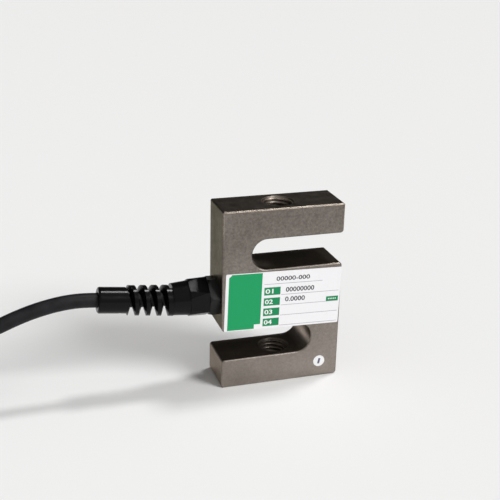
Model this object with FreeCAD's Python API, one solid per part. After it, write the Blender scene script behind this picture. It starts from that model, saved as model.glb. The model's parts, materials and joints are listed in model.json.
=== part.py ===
"""S-type load cell with its cable gland and signal cable, in millimetres.

The load axis is the Z axis.  The origin is the centre of the lower arm's bottom face, X runs along
the arms (the cable leaves to -X) and -Y is the labelled front.
"""
import FreeCAD
import Part
import math
import os

V = FreeCAD.Vector

# ---------------------------------------------------------------- beam (machined S)
body_width = 50.8
body_height = 76.2
body_thickness = 19.05
arm_height = 12.45            # both loading arms
slot_height = 12.95           # both slots, ended by a full round
web_width = 12.2              # metal left between a slot's round end and the side face
corner_radius = 1.3           # convex corners of the S outline
top_corner_radius = 0.7       # the two corners of the top face are crisper
edge_break = 0.4              # small chamfer round both S-shaped faces

# threaded load holes, M12 x 1.75 (the thread itself is not cut in the solid)
thread_radius = 6.0
thread_mouth = 0.6            # 45 degree chamfer at every mouth

# strain-gauge pockets, one in each face of the middle block
pocket_radius = 8.5
gauge_web = 4.0               # thin metal between the two pockets
cover_radius = 10.6
cover_thickness = 0.8
fit_gap = 0.05                # clearance of everything that drops into a pocket or bore
overlap = 0.5                 # how far a cutter or a joined piece runs past a face
tiny = 1e-4                   # tolerance for picking edges

# ---------------------------------------------------------------- inside the pockets
gauge_length = 5.2
gauge_width = 3.0
gauge_thickness = 0.15
gauge_spacing = 5.9           # between the centres of the two gauges on one face
gauge_turn = 45.0             # shear is greatest at 45 degrees to the load axis
board_length = 9.6
board_width = 2.4
board_thickness = 0.6
board_drop = 5.6              # board centre below the pocket centre
chip_length = 1.2
chip_width = 0.7
chip_height = 0.45
chip_spacing = 4.4
pad_spacing = 2.2             # between the soldering pads of the four cores
pad_rise = 0.55               # pads lie this far above the board's centre line
core_diameter = 0.8           # inner end of a cable core
core_spacing = 1.2            # between the cores in the jacket's square bundle
passage_radius = 2.2          # drilled from the gland hole to the rear pocket
passage_offset = 4.3          # its axis behind the load axis

# ---------------------------------------------------------------- cable gland
gland_hole_depth = 12.4
gland_thread_radius = 6.0
shank_length = 8.0
collar_flats = 14.4
collar_height = 4.2
collar_turn = -80.0           # angle of one collar corner about the gland axis
corner_trim = 0.35            # cone that takes the sharp tips off the collar
gasket_width = 0.95
gasket_height = 0.85
spigot_radius = 5.5
spigot_end = 8.8
claw_end = 13.2
claw_root_radius = 4.9
claw_tip_radius = 4.3
claw_count = 6
claw_slot = 0.6
seal_start = 8.25
seal_radius = 3.85
seal_length = 4.6
seal_gap = 0.2                # the cable already leans a little inside the seal

# dome nut, moulded in one piece with its spiral bend-protection tail
nut_flats = 14.5
nut_flats_end = 12.0          # end of the hexagon, from the side face
nut_gap = 0.12                # line between collar and nut
nut_radius = 8.45             # cone that takes the tips off the nut's corners
nut_radius_end = 7.6
neck_radius = 7.05
dome_end_radius = 6.5
dome_end = 18.6
tail_root = 22.5              # the tail bends here
tail_rise = 6.4               # degrees
tail_start_radius = 6.3
tail_end_radius = 6.0
spiral_end = 36.4             # start of the plain end sleeve
sleeve_radius = 5.25
sleeve_end = 48.4
sleeve_rounding = 0.9
bore_gap = 0.35               # between the cable and the bore of gland and tail
spiral_pitch = 4.48
spiral_start = 18.7
spiral_bottom = 21.15         # a turn of the groove passes the underside here
rib_tip = 1.8                 # width of a rib at its crest
groove_foot = 0.5             # width of the slit at the cable
runout_end = 39.5
runout_depth = 0.7

# ---------------------------------------------------------------- cable
cable_diameter = 5.8
cable_start = 5.4             # inner end of the jacket, inside the gland shank
hank_x = -143.2               # centre of the folds nearest the cell
hank_run = 84.0               # straight part of every turn
hank_y = 17.5
hank_inner = 14.6             # radii of the folds, at the inner and outer surface
hank_outer = 26.35
hank_bottom = 1.15
hank_height = 30.85
tie_thickness = 0.8
tie_width = 3.6
tie_gap = 0.15
tie_rounding = 1.2
tie_head = 5.0
tie_head_height = 2.6

# Cable from the gland, straight through the tilted tail, then drooping into the hank's top turn.
lead_out = ((-20.0, 0.0, 38.1), (-47.9, 0.0, 38.1), (-71.5, 0.0, 40.85), (-84.5, -0.2, 41.9),
            (-100.0, -0.8, 39.2), (-116.0, -2.6, 33.6), (-130.5, -4.9, 29.0), (-143.2, -5.85, 27.7),
            (-156.0, -5.85, 27.7))
# Free end of the cable, off the bottom turn and into the open middle of the hank.
tail_out = ((-143.2, 0.0, 4.1), (-157.2, 1.3, 3.9), (-171.7, 7.5, 3.4), (-186.7, 13.5, 3.05), (-200.7, 16.5, 3.0))

wire_diameter = 1.0           # insulated core
strand_diameter = 0.6         # tinned tip
strand_length = 5.0
core_circle = 1.4             # radius of the ring of cores in the jacket
fan_step = 4.2
fan_reach = 22.0

# ---------------------------------------------------------------- labels
label_width = 49.35
label_height = 24.8
label_thickness = 0.12
label_turn = -1.55
label_rounding = 0.5
label_x = 0.4
label_z = 37.3
sticker_radius = 2.5
sticker_thickness = 0.1
sticker_inset = 8.1           # its centre from the right side face
sticker_z = 7.0

# ---------------------------------------------------------------- derived places
half_width = body_width / 2
half_thickness = body_thickness / 2
slot_radius = slot_height / 2
lower_slot_z = arm_height + slot_radius
upper_slot_z = body_height - lower_slot_z
block_bottom = arm_height + slot_height
block_top = body_height - block_bottom
centre_z = body_height / 2
web_face = gauge_web / 2
cable_radius = cable_diameter / 2
bore_radius = cable_radius + bore_gap
board_top = web_face + board_thickness


def gland_place():
    """Turn a piece built along +Z so that it points out of the left side face (its +X is up)."""
    return FreeCAD.Placement(V(-half_width, 0, centre_z), FreeCAD.Rotation(V(0, 1, 0), -90))


def in_gland(shape):
    shape = shape.copy()
    shape.Placement = gland_place().multiply(shape.Placement)
    return shape


def revolved(points):
    """Solid of revolution about Z from (radius, height) corners."""
    corners = [V(radius, 0, height) for radius, height in points]
    face = Part.Face(Part.makePolygon(corners + corners[:1]))
    return face.revolve(V(0, 0, 0), V(0, 0, 1), 360)


def hexagon(flats, height, start, turn):
    """Hexagonal prism along Z with one corner at the given angle."""
    reach = flats / 2 / math.cos(math.radians(30))
    corners = [V(reach * math.cos(math.radians(turn + 60 * k)),
                 reach * math.sin(math.radians(turn + 60 * k)), start) for k in range(7)]
    return Part.Face(Part.makePolygon(corners)).extrude(V(0, 0, height))


def y_disc(radius, x, z, y_from, y_to):
    return Part.makeCylinder(radius, y_to - y_from, V(x, y_from, z), V(0, 1, 0))


def plate(length, height, thickness, x, y, z, turn=0.0):
    """Flat rectangle in the XZ plane, its centre at x, z, from y to y + thickness, turned about Y."""
    shape = Part.makeBox(length, thickness, height, V(-length / 2, 0, -height / 2))
    shape.rotate(V(0, 0, 0), V(0, 1, 0), -turn)
    shape.translate(V(x, y, z))
    return shape


def rounded_path(points):
    """Straight runs joined by the largest tangent arcs; returns the wire and the arc radii."""
    points = [V(*point) for point in points]
    edges = []
    radii = []
    start = points[0]
    for before, corner, after in zip(points, points[1:], points[2:]):
        incoming = (corner - before).normalize()
        outgoing = (after - corner).normalize()
        turn = incoming.getAngle(outgoing)
        setback = 0.45 * min((corner - before).Length, (after - corner).Length)
        radius = setback / math.tan(turn / 2)
        entry = corner - incoming * setback
        leave = corner + outgoing * setback
        inward = (outgoing - incoming).normalize()
        middle = corner + inward * (radius / math.cos(turn / 2) - radius)
        edges.append(Part.LineSegment(start, entry).toShape())
        edges.append(Part.Arc(entry, middle, leave).toShape())
        radii.append(radius)
        start = leave
    edges.append(Part.LineSegment(start, points[-1]).toShape())
    return Part.Wire(edges), radii


def tube(points, diameter):
    """Round solid along a rounded path."""
    path, radii = rounded_path(points)
    stretches = []
    for edge in path.Edges:
        start = edge.valueAt(edge.FirstParameter)
        heading = edge.tangentAt(edge.FirstParameter)
        ring = Part.Face(Part.Wire(Part.makeCircle(diameter / 2, start, heading)))
        if isinstance(edge.Curve, Part.Line):
            stretches.append(ring.extrude(heading * edge.Length))
        else:
            bend = edge.Curve
            turn = math.degrees(edge.Length / bend.Radius)
            stretches.append(ring.revolve(bend.Center, bend.Axis, turn))
    return stretches[0].multiFuse(stretches[1:]), path.Length, radii


# ---------------------------------------------------------------- beam
def slot_cutter(side, z):
    """Slot open to one side, with a full-round end."""
    end_x = -side * (half_width - web_width - slot_radius)
    length = half_width + abs(end_x) + overlap
    left = end_x if side > 0 else end_x - length
    straight = Part.makeBox(length, body_thickness, slot_height, V(left, -half_thickness, z - slot_radius))
    return straight.fuse(y_disc(slot_radius, end_x, z, -half_thickness, half_thickness))


def s_blank():
    """The S outline with its corners rounded and its face edges broken."""
    block = Part.makeBox(body_width, body_thickness, body_height, V(-half_width, -half_thickness, 0))
    block = block.cut(slot_cutter(1, upper_slot_z)).cut(slot_cutter(-1, lower_slot_z)).removeSplitter()
    rounding = {(-half_width, 0.0): corner_radius, (half_width, 0.0): corner_radius,
                (-half_width, body_height): top_corner_radius, (half_width, body_height): top_corner_radius,
                (half_width, body_height - arm_height): corner_radius, (half_width, block_top): corner_radius,
                (-half_width, block_bottom): corner_radius, (-half_width, arm_height): corner_radius}
    for (x, z), radius in rounding.items():
        for edge in block.Edges:
            middle = edge.CenterOfMass
            if abs(middle.x - x) < tiny and abs(middle.z - z) < tiny and abs(middle.y) < tiny:
                block = block.makeFillet(radius, [edge])
                break
    rims = [edge for edge in block.Edges
            if abs(abs(edge.CenterOfMass.y) - half_thickness) < tiny]
    return block.makeChamfer(edge_break, rims)


def thread_cutter(bottom, top):
    """Straight bore with a chamfered mouth at both ends."""
    mouth = thread_radius + thread_mouth
    return revolved([(0, bottom), (mouth, bottom), (thread_radius, bottom + thread_mouth),
                     (thread_radius, top - thread_mouth), (mouth, top), (0, top)])


def s_body():
    body = s_blank()
    body = body.cut(thread_cutter(0, arm_height))
    body = body.cut(thread_cutter(body_height - arm_height, body_height))
    for side in (-1, 1):
        ends = sorted((side * web_face, side * half_thickness))
        body = body.cut(y_disc(pocket_radius, 0, centre_z, *ends))
        ends = sorted((side * (half_thickness - cover_thickness), side * half_thickness))
        body = body.cut(y_disc(cover_radius + fit_gap, 0, centre_z, *ends))
    body = body.cut(in_gland(Part.makeCylinder(gland_thread_radius, gland_hole_depth, V(0, 0, -gland_hole_depth))))
    start = -half_width + gland_hole_depth - overlap
    passage = Part.makeCylinder(passage_radius, -start, V(start, passage_offset, centre_z), V(1, 0, 0))
    return body.cut(passage)


# ---------------------------------------------------------------- pocket contents
def cover_plate(side):
    ends = sorted((side * (half_thickness - cover_thickness), side * half_thickness))
    return y_disc(cover_radius, 0, centre_z, *ends)


def gauge(side, hand):
    """Foil gauge bonded to the thin web, turned to the direction of greatest strain."""
    y = web_face if side > 0 else -web_face - gauge_thickness
    return plate(gauge_length, gauge_width, gauge_thickness, hand * gauge_spacing / 2, y, centre_z, gauge_turn * hand)


def terminal_board():
    return plate(board_length, board_width, board_thickness, 0, web_face, centre_z - board_drop)


def trim_chip(hand):
    z = centre_z - board_drop - (board_width - chip_width) / 2 + 0.1
    return plate(chip_length, chip_width, chip_height, hand * chip_spacing / 2, board_top, z)


def inner_core(index):
    """One cable core from the jacket end through the passage to its pad on the board."""
    column = index % 2
    row = index // 2
    y_jacket = (row - 0.5) * core_spacing
    z = centre_z + (column - 0.5) * core_spacing
    y = passage_offset + y_jacket
    pad_x = (index - 1.5) * pad_spacing
    pad_z = centre_z - board_drop + pad_rise
    jacket_x = -half_width + cable_start
    hole_bottom = -half_width + gland_hole_depth
    points = ((jacket_x, y_jacket, z), (-half_width + shank_length + 0.3, y_jacket, z), (hole_bottom, y, z),
              (pad_x, y, z), (pad_x, y, pad_z), (pad_x, board_top, pad_z))
    return tube(points, core_diameter)[0]


def potting(side, contents):
    """Sealing compound that fills a pocket round whatever lies in it."""
    ends = sorted((side * web_face, side * (half_thickness - cover_thickness)))
    fill = y_disc(pocket_radius - fit_gap, 0, centre_z, *ends)
    for piece in contents:
        fill = fill.cut(piece)
    return fill


# ---------------------------------------------------------------- gland
def gland_body():
    """Threaded shank, hexagonal collar, threaded spigot and clamping claws in one moulding."""
    reach = collar_flats / 2 / math.cos(math.radians(30))
    trim = revolved([(0, 0), (reach, 0), (reach, collar_height - 1.2),
                     (reach - corner_trim * 2, collar_height), (0, collar_height)])
    shape = hexagon(collar_flats, collar_height, 0, collar_turn).common(trim)
    shape = shape.fuse(Part.makeCylinder(gland_thread_radius - fit_gap, shank_length, V(0, 0, -shank_length)))
    shape = shape.fuse(Part.makeCylinder(spigot_radius, spigot_end - collar_height, V(0, 0, collar_height)))
    shape = shape.fuse(Part.makeCone(claw_root_radius, claw_tip_radius, claw_end - spigot_end, V(0, 0, spigot_end)))
    shape = shape.cut(Part.makeCylinder(bore_radius, claw_end + shank_length, V(0, 0, -shank_length)))
    shape = shape.cut(Part.makeCylinder(seal_radius + fit_gap, claw_end, V(0, 0, seal_start)))
    shape = shape.cut(gasket(fit_gap))
    for k in range(claw_count):
        cutter = Part.makeBox(claw_root_radius + 1, claw_slot, claw_end, V(0, -claw_slot / 2, spigot_end + 0.6))
        cutter.rotate(V(0, 0, 0), V(0, 0, 1), 360.0 / claw_count * k)
        shape = shape.cut(cutter)
    return in_gland(shape.removeSplitter())


def gasket(grow=0.0):
    inner = gland_thread_radius - fit_gap
    outer = inner + gasket_width + grow
    return revolved([(inner, 0), (outer, 0), (outer, gasket_height), (inner, gasket_height)])


def gland_gasket():
    inner = gland_thread_radius
    outer = inner + gasket_width - fit_gap
    return in_gland(revolved([(inner, 0), (outer, 0), (outer, gasket_height), (inner, gasket_height)]))


def gland_seal():
    inner = cable_radius + seal_gap
    end = seal_start + seal_length
    return in_gland(revolved([(inner, seal_start), (seal_radius, seal_start), (seal_radius, end), (inner, end)]))


def spiral_cutter(start, end, root_radius, root_width):
    """V-shaped groove swept along a right-hand helix about the tail axis."""
    crest_radius = tail_start_radius + 0.9
    flank = (spiral_pitch - rib_tip - groove_foot) / 2 / (tail_start_radius - bore_radius)
    crest_width = root_width + 2 * flank * (crest_radius - root_radius)
    corners = [V(root_radius, 0, -root_width / 2), V(crest_radius, 0, -crest_width / 2),
               V(crest_radius, 0, crest_width / 2), V(root_radius, 0, root_width / 2)]
    profile = Part.makePolygon(corners + corners[:1])
    helix = Part.Wire(Part.makeLongHelix(spiral_pitch, end - start, crest_radius).Edges)
    groove = helix.makePipeShell([profile], True, True)
    turn = 180 - 360 * (spiral_bottom - start) / spiral_pitch
    groove.rotate(V(0, 0, 0), V(0, 0, 1), turn)
    groove.translate(V(0, 0, start - tail_root))
    return groove


def spiral_tail():
    """Tapered tail with its spiral groove and plain end sleeve, along Z with the bend at the origin."""
    start = dome_end - tail_root - overlap
    spiral = spiral_end - tail_root
    end = sleeve_end - tail_root
    taper = Part.makeCone(tail_start_radius, tail_end_radius, spiral - start, V(0, 0, start))
    taper = taper.cut(spiral_cutter(spiral_start, spiral_end + overlap, bore_radius - bore_gap, groove_foot))
    sleeve = Part.makeCylinder(sleeve_radius, end - spiral, V(0, 0, spiral))
    rim = [edge for edge in sleeve.Edges if abs(edge.CenterOfMass.z - end) < tiny and edge.BoundBox.ZLength < tiny]
    sleeve = sleeve.makeFillet(sleeve_rounding, rim)
    runout = spiral_cutter(spiral_end - overlap, runout_end, sleeve_radius - runout_depth, groove_foot)
    return taper.fuse(sleeve.cut(runout))


def dome_nut():
    """Hexagon with tapered corners, round neck and the spiral tail that rises from it."""
    start = collar_height + nut_gap
    neck = Part.makeCone(neck_radius, dome_end_radius, dome_end - nut_flats_end, V(0, 0, nut_flats_end))
    flats = Part.makeCone(nut_radius, nut_radius_end, nut_flats_end - start, V(0, 0, start))
    flats = flats.common(hexagon(nut_flats, nut_flats_end - start, start, 0))
    bend = V(0, 0, tail_root)
    tail = spiral_tail()
    tail.translate(bend)
    tail.rotate(bend, V(0, 1, 0), tail_rise)
    shape = flats.fuse(neck).fuse(tail)
    throat = spigot_end + overlap
    mouth = start - overlap
    inside = revolved([(0, mouth), (spigot_radius + fit_gap, mouth), (spigot_radius + fit_gap, throat),
                       (claw_root_radius + fit_gap, throat), (claw_tip_radius + fit_gap, claw_end + fit_gap),
                       (0, claw_end + fit_gap)])
    bore = Part.makeCylinder(bore_radius, tail_root, V(0, 0, 0)).fuse(Part.makeSphere(bore_radius, bend))
    rising = Part.makeCylinder(bore_radius, sleeve_end, bend)
    rising.rotate(bend, V(0, 1, 0), tail_rise)
    shape = shape.cut(inside).cut(bore).cut(rising)
    return in_gland(shape.removeSplitter())


# ---------------------------------------------------------------- cable
def stadium(radius, bottom, height):
    """Prism over two half circles joined by the hank's straight runs."""
    far_x = hank_x - hank_run
    shape = Part.makeBox(hank_run, 2 * radius, height, V(far_x, hank_y - radius, bottom))
    for x in (hank_x, far_x):
        shape = shape.fuse(Part.makeCylinder(radius, height, V(x, hank_y, bottom)))
    return shape.removeSplitter()


def cable_hank():
    """Outer shape of the folded, put-away length."""
    return stadium(hank_outer, hank_bottom, hank_height).cut(stadium(hank_inner, hank_bottom, hank_height))


def hank_tie(x, angle):
    """Flat tie looped round the section of the hank, with its head on top."""
    near = hank_inner - tie_gap
    far = hank_outer + tie_gap
    low = hank_bottom - tie_gap
    high = hank_bottom + hank_height + tie_gap
    hole = Part.makeBox(far - near, tie_width, high - low, V(near, -tie_width / 2, low))
    loop = Part.makeBox(far - near + 2 * tie_thickness, tie_width, high - low + 2 * tie_thickness,
                        V(near - tie_thickness, -tie_width / 2, low - tie_thickness))
    corners = [edge for edge in loop.Edges if abs(edge.BoundBox.YLength - tie_width) < tiny]
    loop = loop.makeFillet(tie_rounding, corners).cut(hole)
    head = Part.makeBox(tie_head, tie_head, tie_head_height, V((near + far - tie_head) / 2, -tie_head / 2, high))
    tie = loop.fuse(head).removeSplitter()
    tie.rotate(V(0, 0, 0), V(0, 0, 1), angle)
    tie.translate(V(x, hank_y, 0))
    return tie


def free_core(index):
    """Insulated core that fans out of the jacket and ends in a tinned tip."""
    end = V(*tail_out[-1])
    heading = (end - V(*tail_out[-2])).normalize()
    across = heading.cross(V(0, 0, 1)).normalize()
    upright = across.cross(heading)
    place = math.radians((162.0, 234.0, 90.0, 306.0, 18.0)[index])
    start = end + across * (core_circle * math.cos(place)) + upright * (core_circle * math.sin(place))
    straight = start + heading * 5.0
    spread = (index - 2) * fan_step
    floor = wire_diameter / 2 + 0.1
    halfway = V(end.x - fan_reach * 0.55, start.y + spread * 0.45, (straight.z + floor) / 2)
    last = V(end.x - fan_reach, start.y + spread, floor)
    wire = tube([tuple(point) for point in (start, straight, halfway, last)], wire_diameter)[0]
    level = V(last.x - halfway.x, last.y - halfway.y, 0).normalize()
    tip = Part.makeCylinder(strand_diameter / 2, strand_length + wire_diameter, last - level * wire_diameter, level)
    return wire.fuse(tip).removeSplitter()


def label(width, height):
    shape = plate(width, height, label_thickness, 0, 0, 0)
    corners = [edge for edge in shape.Edges if abs(edge.BoundBox.YLength - label_thickness) < tiny]
    shape = shape.makeFillet(label_rounding, corners)
    shape.rotate(V(0, 0, 0), V(0, 1, 0), -label_turn)
    shape.translate(V(label_x, -half_thickness - label_thickness, label_z))
    return shape


def pieces():
    parts = {"s_body": s_body()}
    parts["front_cover_plate"] = cover_plate(-1)
    parts["rear_cover_plate"] = cover_plate(1)
    parts["nameplate_label"] = label(label_width, label_height)
    parts["inspection_sticker"] = y_disc(sticker_radius, half_width - sticker_inset, sticker_z,
                                         -half_thickness - sticker_thickness, -half_thickness)
    front = {}
    rear = {}
    for hand, hand_name in ((-1, "left"), (1, "right")):
        front["front_strain_gauge_" + hand_name] = gauge(-1, hand)
        rear["rear_strain_gauge_" + hand_name] = gauge(1, hand)
    rear["terminal_board"] = terminal_board()
    rear["zero_trim_resistor"] = trim_chip(-1)
    rear["span_trim_resistor"] = trim_chip(1)
    for index, colour in enumerate(("red", "black", "green", "white")):
        rear["inner_core_" + colour] = inner_core(index)
    parts.update(front)
    parts.update(rear)
    parts["front_potting"] = potting(-1, front.values())
    parts["rear_potting"] = potting(1, rear.values())
    parts["gland_body"] = gland_body()
    parts["gland_gasket"] = gland_gasket()
    parts["gland_seal"] = gland_seal()
    parts["gland_nut_spiral"] = dome_nut()
    parts["cable_hank"] = cable_hank()
    for node, route in (("cable", lead_out), ("cable_free_end", tail_out)):
        run, length, radii = tube(route, cable_diameter)
        print(node, "length %.1f" % length, "volume ratio %.4f" % (run.Volume / (math.pi * cable_radius ** 2 * length)),
              "radii", ["%.0f" % radius for radius in radii])
        parts[node] = run.cut(parts["cable_hank"])
    far_fold = hank_x - hank_run
    for index, (x, angle) in enumerate(((hank_x, 60), (far_fold, 135), (far_fold, 225))):
        parts["hank_tie_%d" % (index + 1)] = hank_tie(x, angle)
    for index, colour in enumerate(("red", "black", "shield", "green", "white")):
        parts["free_core_" + colour] = free_core(index)
    return parts


def main():
    os.makedirs("parts", exist_ok=True)
    for name, shape in pieces().items():
        if shape.ShapeType == "Compound" and len(shape.Solids) == 1:
            shape = shape.Solids[0]
        print(name, shape.ShapeType, len(shape.Solids), shape.isValid(), "%.1f" % shape.Volume)
        shape.exportStep("parts/%s.step" % name)


main()
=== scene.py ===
"""Looks of the S-type load cell: finishes, screw threads, printed label and the laid cable.

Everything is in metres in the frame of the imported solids: origin at the centre of the bottom face,
X along the arms, -Y out of the labelled front, Z up along the load axis.  The cable's route and the
print are laid out in millimetres, and become metres where they turn into a curve or a mesh.
"""
import json
import math

import bpy
import numpy as np
from mathutils import Matrix, Vector


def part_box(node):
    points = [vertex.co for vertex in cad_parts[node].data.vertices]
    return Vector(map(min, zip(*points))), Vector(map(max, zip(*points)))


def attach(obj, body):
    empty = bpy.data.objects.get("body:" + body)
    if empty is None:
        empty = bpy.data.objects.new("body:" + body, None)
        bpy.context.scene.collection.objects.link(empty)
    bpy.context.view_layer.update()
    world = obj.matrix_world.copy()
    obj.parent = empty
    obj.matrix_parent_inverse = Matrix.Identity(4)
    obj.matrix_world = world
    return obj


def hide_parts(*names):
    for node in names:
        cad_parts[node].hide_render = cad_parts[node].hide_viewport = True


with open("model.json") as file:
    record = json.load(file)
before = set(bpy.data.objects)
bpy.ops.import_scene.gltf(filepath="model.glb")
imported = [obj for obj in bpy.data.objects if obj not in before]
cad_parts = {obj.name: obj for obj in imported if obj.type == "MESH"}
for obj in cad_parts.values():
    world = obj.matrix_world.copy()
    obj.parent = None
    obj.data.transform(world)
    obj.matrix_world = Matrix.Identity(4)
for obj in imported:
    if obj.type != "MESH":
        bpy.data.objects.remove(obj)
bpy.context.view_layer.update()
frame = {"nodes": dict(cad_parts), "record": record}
NODES = frame["nodes"]
MM = 0.001

# ---------------------------------------------------------------- sizes read from the frame
BODY_LOW, BODY_HIGH = (np.array(corner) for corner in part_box("s_body"))
TOP_Z = float(BODY_HIGH[2])
MOUNTS = {mount["name"]: mount for mount in frame["record"]["mounts"]}

# ---------------------------------------------------------------- threads
THREAD_PITCH = 1.75 * MM
THREAD_DEPTH = 0.95 * MM
THREAD_ROOT = 0.06            # share of the half pitch that is flat at the root
THREAD_FLANK = 0.82           # share of the half pitch that slopes
RINGS_PER_PITCH = 24
POINTS_PER_RING = 144
LINING_GAP = 0.01 * MM        # between the lining and the bore's wall
LINING_LEAST = 0.004 * MM     # thickness of the lining where a mouth cuts its ridges off

# ---------------------------------------------------------------- cable
CABLE_DIAMETER = 5.8 * MM
STRAND_LENGTH = 5.0 * MM
STRAND_COLOUR = (0.62, 0.61, 0.58)
CORE_COLOURS = {
    "red": (0.42, 0.012, 0.012),
    "black": (0.012, 0.012, 0.012),
    "shield": (0.55, 0.40, 0.05),
    "green": (0.015, 0.20, 0.05),
    "white": (0.72, 0.72, 0.70),
}

# The hank in millimetres: centre of its near folds, straight run, and its turns' pitches.
HANK_X = -143.2
HANK_Y = 17.5
HANK_RUN = 84.0
HANK_FLOOR = 4.1
INNER_FOLD = 17.5
COLUMN_PITCH = 5.85
LAYER_PITCH = 5.9
# Column and layer of each turn, from the top of the hank to its floor.
TURN_SLOTS = ((1, 4), (0, 4), (0, 3), (1, 3), (1, 2), (0, 2), (0, 1), (1, 1), (1, 0), (0, 0))
SHIFT_END = 0.98              # share of the first turn at which its shift is done
SHIFT_LENGTH = 50.0
SHIFT_STAGGER = 20.0
RUN_POINTS = 3
FOLD_STEPS = 6
FOLD_EDGE = 0.01              # radians from a fold's ends that still count as its ends
CURVE_ORDER = 3
CURVE_STEPS = 6

# Route of the cable in millimetres: out of the gland, through the tilted tail, down into the hank.
LEAD_OUT = [(-20.0, 0.0, 38.1), (-47.9, 0.0, 38.1), (-71.5, 0.0, 40.85), (-84.5, -0.2, 41.9),
            (-100.0, -0.8, 39.2), (-116.0, -2.6, 33.6), (-130.5, -4.9, 29.0)]
# The free end of the cable, off the bottom turn and into the open middle of the hank.
TAIL_OUT = [(-143.2, 0.0, 4.1), (-157.2, 1.3, 3.9), (-171.7, 7.5, 3.4), (-186.7, 13.5, 3.05),
            (-200.7, 16.5, 3.0)]

# ---------------------------------------------------------------- print, in millimetres on its film
LABEL_TURN = math.radians(-1.55)
INK = 0.015
LETTER_STEPS = 3
LETTER_WEIGHT = 0.02
GREEN_LEFT = -23.4
GREEN_RIGHT = -9.45
GREEN_TOP = 12.1
CUT_CORNER = 1.3
NOTCH = (-12.1, -10.2)
TAG_LEFT = -8.4
TAG_RIGHT = -1.5
TAG_BASES = (2.2, -2.4, -6.9, -11.4)
TAG_HEIGHT = 3.4
RULE_GAP = 0.4                # between a tag and the rule beside it
RULE_DROP = 0.2               # of the rule below its tag's base
RULE_RIGHT = 24.0
RULE_WIDTH = 0.20
# Panels are left, bottom, right and top.
UNDERLINE = (-8.5, 6.9, 16.5, 6.9 + RULE_WIDTH)
SIDE_TAG = (18.7, -2.45, 24.0, -0.35)
FIRST_BAR = (19.6, -1.65, 20.05, -1.15)
BAR_PITCH = 0.75
BARS = 5
# Lines of print are their text, left, bottom, width and height.
NUMBER_LINES = (
    ("00000-000", -3.5, 8.2, 14.4, 1.9),
    ("00000000", 0.8, 3.1, 12.3, 2.1),
    ("0.0000", 0.7, -1.1, 8.6, 2.1),
)
NUMERAL_INSET = (0.5, 0.7)
NUMERAL_SIZE = (3.4, 2.0)
STICKER_MARK = ("1", -0.45, -1.25, 0.9, 2.5)
STICKER_TURN = math.radians(-12)

# ---------------------------------------------------------------- steel
STEEL_GLANCE = (0.62, 0.61, 0.56, 1)
CLOUD_DARK = (0.190, 0.166, 0.146)
CLOUD_LIGHT = (0.250, 0.222, 0.198)
# Tones that multiply the steel's own colour.
PLAIN = (1.0, 1.0, 1.0)
# Painted shade on the end faces, in soft vertical banding, and painted light on the foot of the left
# end.
PAINTED_END_SHADE_DARK = (0.44, 0.445, 0.38)
PAINTED_END_SHADE_LIGHT = (0.70, 0.70, 0.62)
PAINTED_LEFT_FOOT_LIGHT = (1.75, 1.68, 1.64)
# Painted shade on the flat floors and roofs of the slots.
SLOT_SHADE_TONE = (0.55, 0.53, 0.50)
# Painted shade on the edges lower down and painted highlight on the edges near the top.
EDGE_SHADE_PAINT = (0.80, 0.77, 0.73)
EDGE_HIGHLIGHT_PAINT = (3.1, 2.9, 2.6)
SPECK_DARK = 0.74
SPECK_LIGHT = 1.26
SPECKS_LOST = 0.65            # share of the specks' contrast that is gone at the foot
FOOT_TONE = 1.30
TOP_TONE = 0.86
# Levels between which a tone changes.
SLOT_LEVEL = (18.0 * MM, 23.0 * MM)
TOP_ARM_FLOOR = (0.85 * TOP_Z, 0.9 * TOP_Z)
EDGE_HIGHLIGHT_LEVEL = (0.8 * TOP_Z, 0.9 * TOP_Z)
SQUARE_ON = (0.75, 0.95)      # how squarely a face looks along an axis
EDGE_RADIUS = 0.45 * MM
EDGE_BLEND = (0.88, 0.99)     # how far the rounded normal agrees with the flat one

# ---------------------------------------------------------------- mouldings
MOULD_EDGE = 0.1 * MM
# Each moulding's colour, roughness and gloss, with the solids that wear it.
MOULDINGS = {
    "glossy black nylon": ((0.003, 0.003, 0.0033), 0.19, 0.13, ("gland_nut_spiral",)),
    "dark grey nylon": ((0.008, 0.008, 0.008), 0.36, 0.22, ("gland_body",)),
    "tie nylon": ((0.012, 0.012, 0.012), 0.35, 0.5, ("hank_tie_1", "hank_tie_2", "hank_tie_3")),
    "black rubber": ((0.010, 0.010, 0.010), 0.6, 0.3, ("gland_gasket", "gland_seal")),
    "sealing silicone": ((0.42, 0.42, 0.41), 0.45, 0.5, ("front_potting", "rear_potting")),
    "board laminate": ((0.02, 0.13, 0.05), 0.4, 0.5, ("terminal_board",)),
    "chip ceramic": ((0.02, 0.02, 0.02), 0.3, 0.5, ("zero_trim_resistor", "span_trim_resistor")),
}

# ---------------------------------------------------------------- studio
FLOOR_REACH = 6.0
PAPER = (0.86, 0.86, 0.86, 1)
# Each lamp's direction, its angle in degrees and its strength.
LAMPS = {"key": ((0.60, -0.63, 0.62), 24, 2.25), "strip": ((0.335, 0.14, 0.93), 10, 1.1)}
DOME_TINT = (1.0, 0.985, 0.96, 1)
DOME_FRONT = 0.45
DOME_BEHIND = 0.05
DOME_EDGES = (-0.2, 0.4)      # front to back parts of the direction between which the dome dims

# ---------------------------------------------------------------- camera
CAMERA_PLACE = (-0.11958, -0.33647, 0.18939)
CAMERA_YAW = 17.85
CAMERA_PITCH = -20.65
CAMERA_ROLL = -1.27
CAMERA_LENS = 67.2
CAMERA_SENSOR = 36.0
CAMERA_REACH = (0.01, 50.0)


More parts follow.
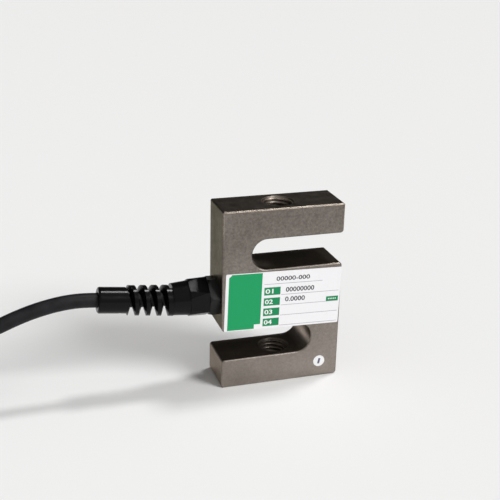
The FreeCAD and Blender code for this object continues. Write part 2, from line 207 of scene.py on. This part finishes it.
def camera():
    """Camera at the product's usual three-quarter view from the front left, a little above."""
    yaw = math.radians(CAMERA_YAW)
    pitch = math.radians(CAMERA_PITCH)
    roll = math.radians(CAMERA_ROLL)
    level_reach = math.cos(pitch)
    forward = Vector((math.sin(yaw) * level_reach, math.cos(yaw) * level_reach, math.sin(pitch)))
    level = forward.cross(Vector((0, 0, 1))).normalized()
    upright = level.cross(forward)
    right = math.cos(roll) * level - math.sin(roll) * upright
    up = math.sin(roll) * level + math.cos(roll) * upright
    turn = Matrix((right, up, -forward)).transposed().to_4x4()
    data = bpy.data.cameras.new("camera")
    data.lens = CAMERA_LENS
    data.sensor_width = CAMERA_SENSOR
    data.clip_start, data.clip_end = CAMERA_REACH
    holder = bpy.data.objects.new("camera", data)
    holder.matrix_world = Matrix.Translation(CAMERA_PLACE) @ turn
    bpy.context.scene.collection.objects.link(holder)
    bpy.context.scene.camera = holder


# ---------------------------------------------------------------- mesh helpers
def mesh_piece(name, points, faces, smooth=True):
    """A mesh object from point and face arrays, riding on the one rigid body."""
    mesh = bpy.data.meshes.new(name)
    mesh.from_pydata(np.asarray(points, float).tolist(), [], [list(face) for face in faces])
    mesh.update()
    mesh.polygons.foreach_set("use_smooth", np.full(len(mesh.polygons), smooth))
    piece = bpy.data.objects.new(name, mesh)
    bpy.context.scene.collection.objects.link(piece)
    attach(piece, "root")
    return piece


def grid_faces(rows, columns, wrap_rows=False, wrap_columns=False):
    """Quads of a rows by columns grid of points, closed round either way where asked."""
    row = np.arange(rows if wrap_rows else rows - 1)
    column = np.arange(columns if wrap_columns else columns - 1)
    row, column = (axis.ravel() for axis in np.meshgrid(row, column, indexing="ij"))
    next_row = (row + 1) % rows
    next_column = (column + 1) % columns
    return np.stack([row * columns + column, row * columns + next_column,
                     next_row * columns + next_column, next_row * columns + column], axis=1)


# ---------------------------------------------------------------- material helpers
class Finish:
    """A node material with one Principled shader and short calls for the nodes that feed it."""

    def __init__(self, name, **values):
        self.material = bpy.data.materials.new(name)
        self.material.use_nodes = True
        self.tree = self.material.node_tree
        self.shader = next(node for node in self.tree.nodes if node.type == "BSDF_PRINCIPLED")
        for socket, value in values.items():
            self.shader.inputs[socket.replace("_", " ")].default_value = value

    def node(self, kind, settings=None, **inputs):
        """A new node; each input is a number, a colour or the socket that feeds it."""
        made = self.tree.nodes.new("ShaderNode" + kind)
        for key, value in (settings or {}).items():
            setattr(made, key, value)
        for key, value in inputs.items():
            socket = made.inputs[key.replace("_", " ")]
            if isinstance(value, bpy.types.NodeSocket):
                self.tree.links.new(value, socket)
            else:
                socket.default_value = value
        return made

    def place(self, scale=(1, 1, 1)):
        """Object coordinates, stretched by scale."""
        coordinates = self.node("TexCoord").outputs["Object"]
        return self.node("Mapping", Vector=coordinates, Scale=scale).outputs["Vector"]

    def along(self, axis, vector):
        """One axis of a vector."""
        return self.node("SeparateXYZ", Vector=vector).outputs[axis]

    def noise(self, scale, detail=2.0, roughness=0.5, stretch=(1, 1, 1)):
        """Cloudy noise from 0 to 1, with scale in cells per metre."""
        return self.node("TexNoise", Vector=self.place(stretch), Scale=scale, Detail=detail,
                         Roughness=roughness).outputs["Fac"]

    def ramp(self, factor, low, high, start=0.0, end=1.0):
        """Numbers or colours from low to high as factor goes from start to end."""
        if isinstance(low, tuple):
            made = self.node("ValToRGB")
            for stop, position, colour in zip(made.color_ramp.elements, (start, end), (low, high)):
                stop.position = position
                stop.color = (*colour, 1)
            self.tree.links.new(factor, made.inputs["Fac"])
            return made.outputs["Color"]
        made = self.node("MapRange", Value=factor, From_Min=start, From_Max=end, To_Min=low,
                         To_Max=high)
        return made.outputs["Result"]

    def mix(self, factor, low, high):
        """Colour from low to high; either may be a colour or a socket."""
        made = self.node("Mix", {"data_type": "RGBA"}, Factor=factor)
        ends = [socket for socket in made.inputs if socket.type == "RGBA"]
        for socket, value in zip(ends, (low, high)):
            if isinstance(value, bpy.types.NodeSocket):
                self.tree.links.new(value, socket)
            else:
                socket.default_value = (*value, 1)
        return next(socket for socket in made.outputs if socket.type == "RGBA")

    def blend(self, factor, levels, low, high):
        """Colour from low to high as factor goes from one level to the other."""
        return self.mix(self.ramp(factor, 0.0, 1.0, *levels), low, high)

    def times(self, first, *others):
        """Product of colours or numbers."""
        for other in others:
            made = self.node("VectorMath", {"operation": "MULTIPLY"})
            self.tree.links.new(first, made.inputs[0])
            self.tree.links.new(other, made.inputs[1])
            first = made.outputs["Vector"]
        return first

    def edge(self, radius):
        """Normal that rounds sharp edges by a radius."""
        return self.node("Bevel", {"samples": 6}, Radius=radius).outputs["Normal"]

    def bump(self, height, distance, strength=1.0, normal=None):
        """Normal raised by a height pattern, over another normal if one is given."""
        made = self.node("Bump", Height=height, Distance=distance, Strength=strength)
        if normal is not None:
            self.tree.links.new(normal, made.inputs["Normal"])
        return made.outputs["Normal"]

    def feed(self, socket, value):
        """Drives one of the shader's sockets."""
        self.tree.links.new(value, self.shader.inputs[socket])

    def on(self, *pieces):
        """Puts this finish on pieces, in place of what they had."""
        for piece in pieces:
            piece.data.materials.clear()
            piece.data.materials.append(self.material)


# ---------------------------------------------------------------- finishes
def plated_steel():
    """Satin nickel plate over ground steel.

    Cloudy warm grey with fine specks that fade towards the foot, and darker towards the top.
    The end faces carry a painted shade in soft vertical banding, with a painted light on the foot
    of the left end.  The flat floors and roofs of the slots carry a painted shade, and the edges
    a painted highlight near the top and a painted shade lower down.
    """
    finish = Finish("plated steel", Metallic=1.0, Specular_Tint=STEEL_GLANCE)
    cloud = finish.ramp(finish.noise(38, detail=5, roughness=0.62), CLOUD_DARK, CLOUD_LIGHT,
                        0.32, 0.68)
    height = finish.along("Z", finish.place())
    specks = finish.ramp(finish.noise(1100, detail=3, roughness=0.75), SPECK_DARK, SPECK_LIGHT,
                         0.34, 0.66)
    mottle = finish.mix(finish.ramp(height, SPECKS_LOST, 0.0, 0.0, TOP_Z), specks, PLAIN)
    fade = finish.ramp(height, FOOT_TONE, TOP_TONE, 0.0, TOP_Z)

    facing = finish.node("TexCoord").outputs["Normal"]
    sideways = finish.along("X", facing)
    # Painted shade on the end faces in soft vertical banding; the foot of the left end gets painted
    # light instead.
    banded_end_shade = finish.ramp(finish.noise(95, detail=2, stretch=(0, 1, 0.04)), PAINTED_END_SHADE_DARK, PAINTED_END_SHADE_LIGHT,
                        0.35, 0.65)
    foot = finish.blend(sideways, (-0.5, 0.0), PAINTED_LEFT_FOOT_LIGHT, banded_end_shade)
    painted_end_tone = finish.blend(height, SLOT_LEVEL, foot, banded_end_shade)
    end_face = finish.node("Math", {"operation": "ABSOLUTE"}, Value=sideways).outputs[0]
    end_faces_painted_tone = finish.blend(end_face, SQUARE_ON, PLAIN, painted_end_tone)
    # Painted shade on the flat floors and roofs of the slots, below the top arm.
    slot_shade_below_arm = finish.blend(height, TOP_ARM_FLOOR, SLOT_SHADE_TONE, PLAIN)
    painted_slot_shade = finish.blend(finish.along("Z", facing), SQUARE_ON, PLAIN, slot_shade_below_arm)

    edge = finish.edge(EDGE_RADIUS)
    flatness = finish.node("VectorMath", {"operation": "DOT_PRODUCT"}, Vector=edge)
    finish.tree.links.new(finish.node("NewGeometry").outputs["Normal"], flatness.inputs[1])
    # Painted highlight on the edges near the top, painted shade on the edges lower down.
    edge_light_and_shade = finish.blend(height, EDGE_HIGHLIGHT_LEVEL, EDGE_SHADE_PAINT, EDGE_HIGHLIGHT_PAINT)
    painted_edge_tone = finish.blend(flatness.outputs["Value"], EDGE_BLEND, edge_light_and_shade, PLAIN)
    finish.feed("Base Color", finish.times(cloud, end_faces_painted_tone, painted_slot_shade, mottle, fade, painted_edge_tone))

    smear = finish.noise(260, detail=6, roughness=0.7)
    finish.feed("Roughness", finish.ramp(smear, 0.30, 0.46, 0.3, 0.7))
    grain = finish.noise(1500, detail=4, roughness=0.65)
    marks = finish.noise(420, detail=3, roughness=0.6, stretch=(0.12, 1, 1))
    marked = finish.bump(marks, 0.03 * MM, 0.30, edge)
    finish.feed("Normal", finish.bump(grain, 0.05 * MM, 0.5, marked))
    return finish


def cover_steel():
    """Thin sealing disc: stainless sheet with straight brushing."""
    finish = Finish("cover steel", Metallic=1.0)
    brushing = finish.noise(900, detail=3, roughness=0.6, stretch=(0.03, 1, 1))
    dull, bright = (0.34, 0.33, 0.31), (0.50, 0.49, 0.47)
    finish.feed("Base Color", finish.ramp(brushing, dull, bright, 0.3, 0.7))
    finish.feed("Roughness", finish.ramp(brushing, 0.26, 0.40, 0.3, 0.7))
    finish.feed("Normal", finish.bump(brushing, 0.03 * MM, 0.4))
    return finish


def moulded(name, colour, roughness, gloss):
    """Injection moulding: soft sheen, faint flow marks and edges that catch a little light."""
    finish = Finish(name, Base_Color=(*colour, 1), IOR=1.53, Specular_IOR_Level=gloss)
    flow = finish.noise(260, detail=4, roughness=0.6)
    finish.feed("Roughness", finish.ramp(flow, roughness * 0.8, roughness * 1.3, 0.3, 0.7))
    grain = finish.noise(1500, detail=2)
    finish.feed("Normal", finish.bump(grain, 0.01 * MM, 0.4, finish.edge(MOULD_EDGE)))
    return finish


def cable_jacket():
    """Matt black cable jacket, slightly dusty, with the fine ripple of its extrusion."""
    finish = Finish("cable jacket", IOR=1.5, Specular_IOR_Level=0.18)
    dust = finish.noise(180, detail=5, roughness=0.65)
    clean, dusty = (0.006, 0.006, 0.0072), (0.015, 0.015, 0.017)
    finish.feed("Base Color", finish.ramp(dust, clean, dusty, 0.35, 0.75))
    finish.feed("Roughness", finish.ramp(dust, 0.42, 0.62, 0.3, 0.7))
    ripple = finish.bump(finish.noise(900, detail=2, stretch=(0.15, 1, 1)), 0.03 * MM, 0.3)
    finish.feed("Normal", finish.bump(finish.noise(2400, detail=3), 0.02 * MM, 0.35, ripple))
    return finish


def film(name, colour, roughness=0.32):
    """Printed polyester film: even colour with a barely uneven gloss."""
    finish = Finish(name, Base_Color=(*colour, 1), IOR=1.49, Specular_IOR_Level=0.32)
    haze = finish.noise(700, detail=3)
    finish.feed("Roughness", finish.ramp(haze, roughness * 0.8, roughness * 1.25, 0.3, 0.7))
    finish.feed("Normal", finish.bump(finish.noise(160, detail=2), 0.02 * MM, 0.15))
    return finish


def tinned_core(name, colour, tip_x):
    """Insulated core whose last few millimetres, left of tip_x, are tinned strands."""
    finish = Finish(name)
    cut = (tip_x - 0.1 * MM, tip_x + 0.1 * MM)
    insulated = finish.ramp(finish.along("X", finish.place()), 0.0, 1.0, *cut)
    shadow = tuple(part * 0.85 for part in colour)
    shade = finish.ramp(finish.noise(1200, detail=3), shadow, colour, 0.3, 0.7)
    finish.feed("Base Color", finish.mix(insulated, STRAND_COLOUR, shade))
    finish.feed("Metallic", finish.ramp(insulated, 1.0, 0.0))
    finish.feed("Roughness", finish.ramp(insulated, 0.28, 0.42))
    strands = finish.noise(2600, detail=2, stretch=(0.1, 1, 1))
    finish.feed("Normal", finish.bump(strands, 0.03 * MM, 0.4))
    return finish


def foil_gauge():
    """Amber film with rows of etched foil, seen as fine metallic lines."""
    finish = Finish("gauge foil", Roughness=0.35)
    lines = finish.node("TexWave", {"bands_direction": "DIAGONAL"}, Vector=finish.place(),
                        Scale=900.0).outputs["Fac"]
    amber, foil = (0.42, 0.24, 0.08), (0.66, 0.58, 0.44)
    finish.feed("Base Color", finish.ramp(lines, amber, foil, 0.45, 0.55))
    finish.feed("Metallic", finish.ramp(lines, 0.0, 0.9, 0.45, 0.55))
    return finish


# ---------------------------------------------------------------- cable
def hank_points():
    """Turns of the put-away length, two columns wide and five layers high.

    Each turn is a straight run, a half-circle fold, a run back and a fold.  Near the end of a turn
    the line shifts to the next slot, eased by 3x^2 - 2x^3, and each later turn shifts a little
    sooner, so that turns which cross stay a diameter apart.  Points within a fold stand out by one
    over the cosine of half a step, so that the smooth curve keeps the fold's radius.
    """
    fold = math.pi * (INNER_FOLD + COLUMN_PITCH / 2)
    turn = 2 * (HANK_RUN + fold)
    along_run = (np.arange(RUN_POINTS) + 0.5) / RUN_POINTS * HANK_RUN
    along_fold = np.arange(FOLD_STEPS + 1) / FOLD_STEPS * fold
    half = np.concatenate([along_run, HANK_RUN + along_fold])
    stations = np.sort(np.concatenate([half, half + turn / 2]) % turn)
    turns = len(TURN_SLOTS) - 1
    travel = (np.arange(turns)[:, None] * turn + stations).ravel()
    slot = np.zeros_like(travel)
    for number in range(turns):
        start = (number + SHIFT_END) * turn - SHIFT_LENGTH - number * SHIFT_STAGGER
        part = np.clip((travel - start) / SHIFT_LENGTH, 0, 1)
        slot += part * part * (3 - 2 * part)
    column, layer = (np.interp(slot, np.arange(turns + 1), values) for values in zip(*TURN_SLOTS))
    radius = INNER_FOLD + COLUMN_PITCH * column
    side = travel % turn
    back = side >= turn / 2
    side = side - back * turn / 2
    angle = np.maximum(side - HANK_RUN, 0) / fold * np.pi
    within = (angle > FOLD_EDGE) & (angle < np.pi - FOLD_EDGE)
    reach = radius * np.where(within, 1 / math.cos(np.pi / FOLD_STEPS / 2), 1.0)
    way = np.where(back, -1.0, 1.0)
    from_middle = np.minimum(side, HANK_RUN) - HANK_RUN / 2 + reach * np.sin(angle)
    x = HANK_X - HANK_RUN / 2 - way * from_middle
    y = HANK_Y - way * reach * np.cos(angle)
    return np.stack([x, y, HANK_FLOOR + LAYER_PITCH * layer], axis=1)


def smooth_curve(name, points, thickness):
    """Round cord along a NURBS line, with the points in millimetres.

    The thickness is in the points' radius and the bevel is 1, because bounds grow by the radius.
    """
    data = bpy.data.curves.new(name, "CURVE")
    data.dimensions = "3D"
    line = data.splines.new("NURBS")
    line.points.add(len(points) - 1)
    where = np.ones((len(points), 4))
    where[:, :3] = np.asarray(points) * MM
    line.points.foreach_set("co", where.ravel())
    line.points.foreach_set("radius", np.full(len(points), thickness / 2))
    line.order_u = CURVE_ORDER
    line.use_endpoint_u = True
    line.resolution_u = CURVE_STEPS
    data.bevel_depth = 1.0
    data.bevel_resolution = CURVE_STEPS
    data.use_fill_caps = True
    cord = bpy.data.objects.new(name, data)
    bpy.context.scene.collection.objects.link(cord)
    return cord


def signal_cable():
    """The whole cable as one cord, from inside the gland to its bare far end."""
    route = LEAD_OUT + hank_points().tolist() + TAIL_OUT
    cable = smooth_curve("signal_cable", route, CABLE_DIAMETER)
    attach(cable, "root")
    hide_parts("cable", "cable_hank", "cable_free_end")
    return cable


# ---------------------------------------------------------------- threads
def thread_lining(name, mount):
    """Screw thread inside a load hole, as a thin tube.

    The inner radius at height z and angle a is the bore's radius less a flat-topped triangle
    wave of the thread's depth in (z / pitch - a / turn), and is never less than the 45 degree
    cone of either mouth.  The outer radius stays a hair inside the bore's wall.
    """
    bore = mount["dims"]["r_mm"] * MM
    length = mount["dims"]["length_mm"] * MM
    middle = mount["pos_m"][2]
    around = POINTS_PER_RING
    along = int(round(length / THREAD_PITCH * RINGS_PER_PITCH))
    height = np.linspace(-length / 2, length / 2, along)[:, None]
    angle = np.linspace(0, 2 * np.pi, around, endpoint=False)[None, :]
    wave = np.abs(((height / THREAD_PITCH - angle / (2 * np.pi)) % 1.0) * 2 - 1)
    ridge = np.clip((wave - THREAD_ROOT) / THREAD_FLANK, 0, 1)
    mouth = bore - (length / 2 - np.abs(height))
    outer = np.full_like(wave, bore - LINING_GAP)
    inner = np.minimum(np.maximum(bore - THREAD_DEPTH * ridge, mouth), outer - LINING_LEAST)
    shells = []
    for radius, z in ((inner, height), (outer[::-1], height[::-1])):
        ring_z = middle + z + 0 * angle
        shells.append(np.stack([radius * np.cos(angle), radius * np.sin(angle), ring_z], axis=2))
    rings = np.concatenate(shells)
    faces = grid_faces(len(rings), around, wrap_rows=True, wrap_columns=True)
    piece = mesh_piece(name, rings.reshape(-1, 3), faces)
    return piece


# ---------------------------------------------------------------- printing
def on_film(node, points, turn=0.0):
    """Places film millimetres, right and up from a film's centre, on its front face."""
    low, high = (np.array(corner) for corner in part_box(node))
    middle = (low + high) / 2
    right, up = np.asarray(points, float).T * MM
    x = middle[0] + right * math.cos(turn) - up * math.sin(turn)
    z = middle[2] + right * math.sin(turn) + up * math.cos(turn)
    return np.stack([x, np.full_like(x, low[1]), z], axis=1)


def printed(name, node, shapes, finish, turn=0.0, layer=1):
    """One layer of ink from (points, faces) shapes that lie on a film."""
    points = []
    faces = []
    for shape_points, shape_faces in shapes:
        faces += [[len(points) + corner for corner in face] for face in shape_faces]
        points += [tuple(point) for point in shape_points]
    lifted = on_film(node, points, turn) - (0, layer * INK * MM, 0)
    piece = mesh_piece(name, lifted, faces, smooth=False)
    ink = piece.modifiers.new("ink", "SOLIDIFY")
    ink.thickness = INK * MM
    finish.on(piece)
    return piece


def outline(*corners):
    """A flat shape from its corners, as points and one face."""
    return corners, [list(range(len(corners)))]


def panel(left, bottom, right, top):
    """A flat rectangle."""
    return outline((left, bottom), (right, bottom), (right, top), (left, top))


def words(text, left, bottom, width, height):
    """Flat letters of the built-in font, stretched to a width and height."""
    curve = bpy.data.curves.new("words", "FONT")
    curve.body = text
    curve.resolution_u = LETTER_STEPS
    curve.offset = LETTER_WEIGHT
    holder = bpy.data.objects.new("words", curve)
    bpy.context.scene.collection.objects.link(holder)
    graph = bpy.context.evaluated_depsgraph_get()
    mesh = bpy.data.meshes.new_from_object(holder.evaluated_get(graph))
    points = np.array([vertex.co[:2] for vertex in mesh.vertices])
    faces = [list(face.vertices) for face in mesh.polygons]
    bpy.data.objects.remove(holder)
    bpy.data.meshes.remove(mesh)
    low = points.min(axis=0)
    points = (points - low) / (points.max(axis=0) - low) * (width, height) + (left, bottom)
    return points.tolist(), faces


def label_print():
    """Green block, four numbered tags, ruled lines and plain numbers on a white film."""
    plate = "nameplate_label"
    block = outline((GREEN_LEFT, -GREEN_TOP), (NOTCH[0], -GREEN_TOP), NOTCH,
                    (GREEN_RIGHT, NOTCH[1]), (GREEN_RIGHT, GREEN_TOP),
                    (GREEN_LEFT + CUT_CORNER, GREEN_TOP), (GREEN_LEFT, GREEN_TOP - CUT_CORNER))
    printed("label_block", plate, [block], film("green ink", (0.003, 0.310, 0.106), 0.38),
            LABEL_TURN)

    tags = [panel(TAG_LEFT, base, TAG_RIGHT, base + TAG_HEIGHT) for base in TAG_BASES]
    tags.append(panel(*SIDE_TAG))
    printed("label_tags", plate, tags, film("tag ink", (0.003, 0.235, 0.085), 0.38), LABEL_TURN)

    lines = [base - RULE_DROP for base in TAG_BASES]
    rules = [panel(TAG_RIGHT + RULE_GAP, line, RULE_RIGHT, line + RULE_WIDTH) for line in lines]
    rules.append(panel(*UNDERLINE))
    printed("label_rules", plate, rules, film("rule ink", (0.36, 0.35, 0.38), 0.5), LABEL_TURN)

    numbers = [words(*line) for line in NUMBER_LINES]
    printed("label_numbers", plate, numbers, film("number ink", (0.055, 0.055, 0.060), 0.5),
            LABEL_TURN)

    numerals = [words("%02d" % number, TAG_LEFT + NUMERAL_INSET[0], base + NUMERAL_INSET[1],
                      *NUMERAL_SIZE)
                for number, base in enumerate(TAG_BASES, 1)]
    left, bottom, right, top = FIRST_BAR
    bars = [panel(left + BAR_PITCH * step, bottom, right + BAR_PITCH * step, top)
            for step in range(BARS)]
    printed("label_numerals", plate, numerals + bars, film("white ink", (0.84, 0.86, 0.85), 0.38),
            LABEL_TURN, layer=2)
    film("label film", (0.83, 0.825, 0.845)).on(NODES[plate])


def sticker_print():
    """One number, slightly turned, on the small round film."""
    sticker = "inspection_sticker"
    film("sticker film", (0.82, 0.82, 0.83)).on(NODES[sticker])
    blue_black = film("mark ink", (0.10, 0.10, 0.16), 0.5)
    printed("sticker_mark", sticker, [words(*STICKER_MARK)], blue_black, STICKER_TURN)


# ---------------------------------------------------------------- studio
def floor():
    """Pale sweep under the object."""
    reach = FLOOR_REACH
    corners = [(-reach, -reach, 0), (reach, -reach, 0), (reach, reach, 0), (-reach, reach, 0)]
    mesh = bpy.data.meshes.new("floor")
    mesh.from_pydata(corners, [], [(0, 1, 2, 3)])
    ground = bpy.data.objects.new("floor", mesh)
    bpy.context.scene.collection.objects.link(ground)
    Finish("paper floor", Base_Color=PAPER, Roughness=0.9).on(ground)


def sun(name, towards, angle, strength):
    """Even light from one direction; its angle sets how soft shadows and highlights are."""
    data = bpy.data.lights.new(name, "SUN")
    data.angle = math.radians(angle)
    data.energy = strength
    holder = bpy.data.objects.new(name, data)
    holder.matrix_world = Vector(towards).to_track_quat("Z", "Y").to_matrix().to_4x4()
    bpy.context.scene.collection.objects.link(holder)


def studio():
    """Soft key from the front right, small lamp overhead, and a dome that is brighter in front."""
    for name, (towards, angle, strength) in LAMPS.items():
        sun(name, towards, angle, strength)
    world = bpy.data.worlds.new("studio")
    world.use_nodes = True
    tree = world.node_tree
    direction = tree.nodes.new("ShaderNodeTexCoord").outputs["Generated"]
    parts = tree.nodes.new("ShaderNodeSeparateXYZ")
    tree.links.new(direction, parts.inputs["Vector"])
    dome = tree.nodes.new("ShaderNodeMapRange")
    tree.links.new(parts.outputs["Y"], dome.inputs["Value"])
    for socket, value in zip(("From Min", "From Max", "To Min", "To Max"),
                             (*DOME_EDGES, DOME_FRONT, DOME_BEHIND)):
        dome.inputs[socket].default_value = value
    background = tree.nodes["Background"]
    tree.links.new(dome.outputs["Result"], background.inputs["Strength"])
    background.inputs["Color"].default_value = DOME_TINT
    bpy.context.scene.world = world
    bpy.context.scene.view_settings.view_transform = "Standard"


# ---------------------------------------------------------------- the part
def finishes():
    """Gives its finish to every solid that stays as packed, bar the two printed films."""
    steel = plated_steel()
    steel.on(NODES["s_body"])
    for mount in ("upper_thread", "lower_thread"):
        steel.on(thread_lining(mount + "_form", MOUNTS[mount]))
    cover_steel().on(NODES["front_cover_plate"], NODES["rear_cover_plate"])
    for name, (colour, roughness, gloss, wearers) in MOULDINGS.items():
        moulded(name, colour, roughness, gloss).on(*(NODES[wearer] for wearer in wearers))
    foil_gauge().on(*(NODES["%s_strain_gauge_%s" % (face, hand)]
                      for face in ("front", "rear") for hand in ("left", "right")))
    for colour, value in CORE_COLOURS.items():
        free = "free_core_" + colour
        tip_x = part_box(free)[0][0] + STRAND_LENGTH
        tinned_core(colour + " core", value, tip_x).on(NODES[free])
        if colour != "shield":
            inner = NODES["inner_core_" + colour]
            moulded(colour + " insulation", value, 0.4, 0.5).on(inner)


def main():
    """Sets the camera and studio, then dresses the part."""
    camera()
    studio()
    floor()
    finishes()
    label_print()
    sticker_print()
    cable_jacket().on(signal_cable())


main()
